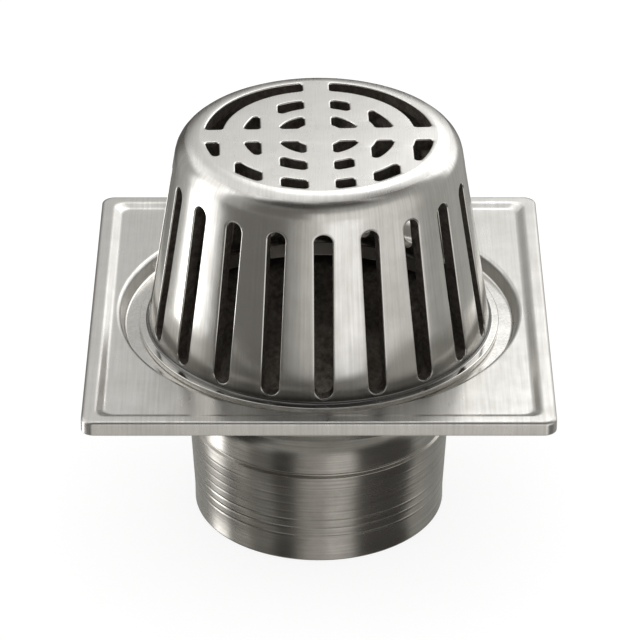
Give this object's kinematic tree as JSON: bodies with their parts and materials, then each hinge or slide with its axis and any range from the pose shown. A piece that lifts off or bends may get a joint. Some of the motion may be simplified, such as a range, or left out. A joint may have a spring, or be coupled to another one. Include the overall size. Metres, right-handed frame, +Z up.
{
  "type": "flat roof drain",
  "caption": "Cast metal roof drain: square rimmed flange, round recess and bell-mouthed funnel to a pipe outlet, with a lift-out slotted dome strainer over the inlet",
  "frame": {"origin": "centre of the outlet's lower end, the face that the drain stands on and that meets the pipe", "axes": "+Z up along the outlet's axis out of the top of the dome, X and Y along the sides of the square flange, -Y the side whose outer ring slots are barred by the short ribs"},
  "size_m": [0.108, 0.108, 0.0987],
  "materials": {
    "body_steel": "satin, brushed front to back on the flange, turned on the outlet",
    "dome_steel": "satin, lightly polished casting, darker inside"
  },
  "bodies": {
    "root": {"drain_body": "body_steel", "dome_strainer": "dome_steel"}
  },
  "joints": []
}
